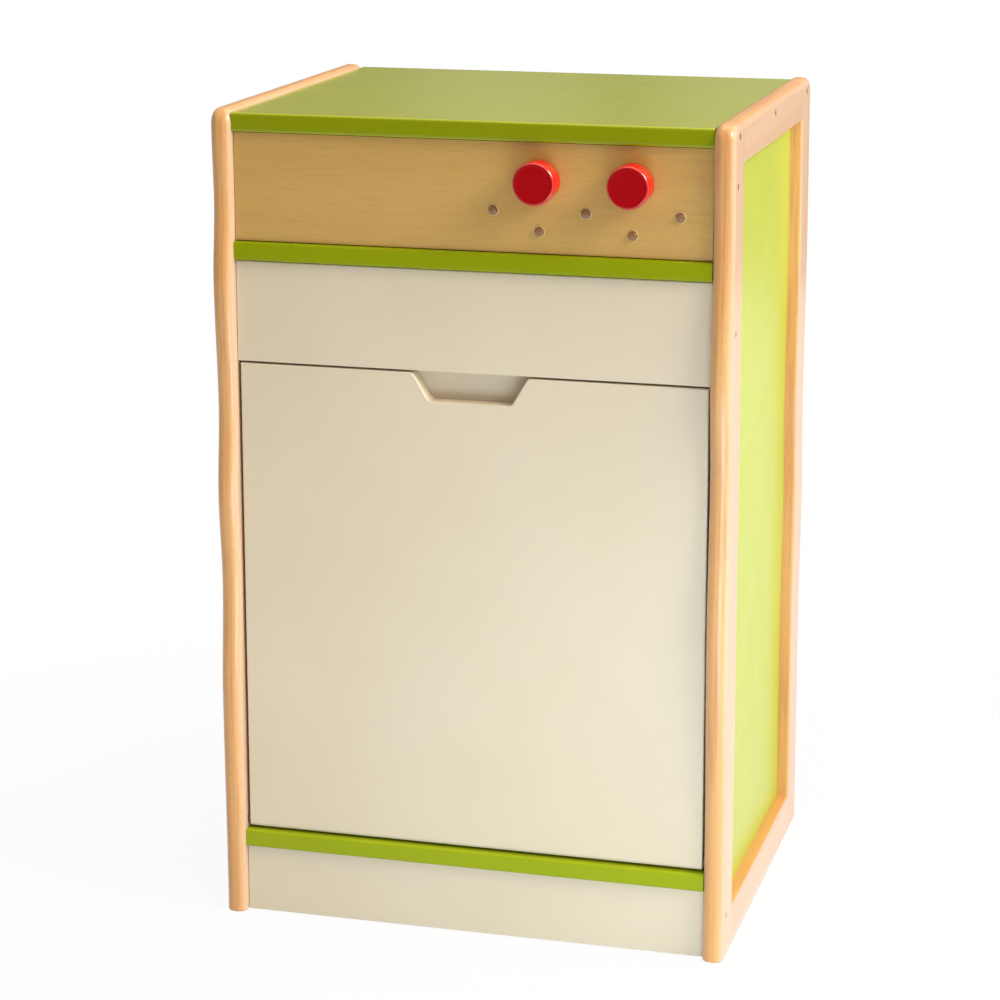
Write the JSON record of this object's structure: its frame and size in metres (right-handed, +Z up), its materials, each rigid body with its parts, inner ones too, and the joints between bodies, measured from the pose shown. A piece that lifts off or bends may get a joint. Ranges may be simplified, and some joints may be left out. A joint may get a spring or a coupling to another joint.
{
  "type": "toy dishwasher",
  "caption": "Play kitchen dishwasher: wavy beech side frames, green boards, cream drop-down door with a finger notch, wooden control panel with red turning knobs.",
  "frame": {"origin": "on the floor, under the middle of the whole object's box (knobs and waving frame edges included)", "axes": "+X to the user's right, +Y to the back (the door and knobs face -Y), +Z up"},
  "size_m": [0.5, 0.428, 0.8],
  "materials": {
    "beech": "clear satin varnish over solid beech",
    "beech_veneer": "clear satin varnish over beech plywood",
    "dowel_beech": "bare wood",
    "brown_wood": "brown end grain, oiled",
    "green_paint": "satin lime-green paint on board",
    "cream_paint": "satin cream paint on board",
    "red_lacquer": "gloss red lacquer on turned wood",
    "zinc_steel": "zinc plated",
    "magnet_steel": "nickel plated",
    "brown_nylon": "moulded brown nylon",
    "felt": "pressed felt"
  },
  "bodies": {
    "cabinet": {"left_front_stile": "beech", "left_rear_stile": "beech", "left_top_rail": "beech", "left_bottom_rail": "beech", "left_side_panel": "green_paint", "left_frame_dowels": "dowel_beech", "left_side_screws": "zinc_steel", "left_screw_plugs": "brown_wood", "right_front_stile": "beech", "right_rear_stile": "beech", "right_top_rail": "beech", "right_bottom_rail": "beech", "right_side_panel": "green_paint", "right_frame_dowels": "dowel_beech", "right_side_screws": "zinc_steel", "right_screw_plugs": "brown_wood", "top_board": "green_paint", "shelf_board": "green_paint", "bottom_board": "green_paint", "control_panel": "beech_veneer", "upper_front_panel": "cream_paint", "plinth": "cream_paint", "back_panel": "beech_veneer", "back_panel_screws": "zinc_steel", "board_dowels": "dowel_beech", "door_stop_rail": "cream_paint", "stop_rail_screws": "zinc_steel", "catch_sleeves": "brown_nylon", "catch_magnets": "magnet_steel", "stop_pads": "felt", "pivot_bushes": "brown_nylon", "dial_pins": "brown_wood", "knob_bushes": "brown_nylon"},
    "door": {"door_panel": "cream_paint", "door_pivot_pins": "zinc_steel", "strike_discs": "zinc_steel", "strike_screws": "zinc_steel"},
    "left_knob": {"left_knob": "red_lacquer", "left_knob_spindle": "zinc_steel", "left_knob_washer": "zinc_steel", "left_knob_nut": "zinc_steel"},
    "right_knob": {"right_knob": "red_lacquer", "right_knob_spindle": "zinc_steel", "right_knob_washer": "zinc_steel", "right_knob_nut": "zinc_steel"}
  },
  "joints": [
    {"name": "door_hinge", "type": "hinge", "parent": "cabinet", "child": "door", "pos_m": [0, -0.183, 0.095], "axis": [1, 0, 0], "range_deg": [0, 90]},
    {"name": "left_knob_turn", "type": "hinge", "parent": "cabinet", "child": "left_knob", "pos_m": [0.067, -0.19, 0.742], "axis": [0, 1, 0], "continuous": true},
    {"name": "right_knob_turn", "type": "hinge", "parent": "cabinet", "child": "right_knob", "pos_m": [0.155, -0.19, 0.742], "axis": [0, 1, 0], "continuous": true}
  ]
}
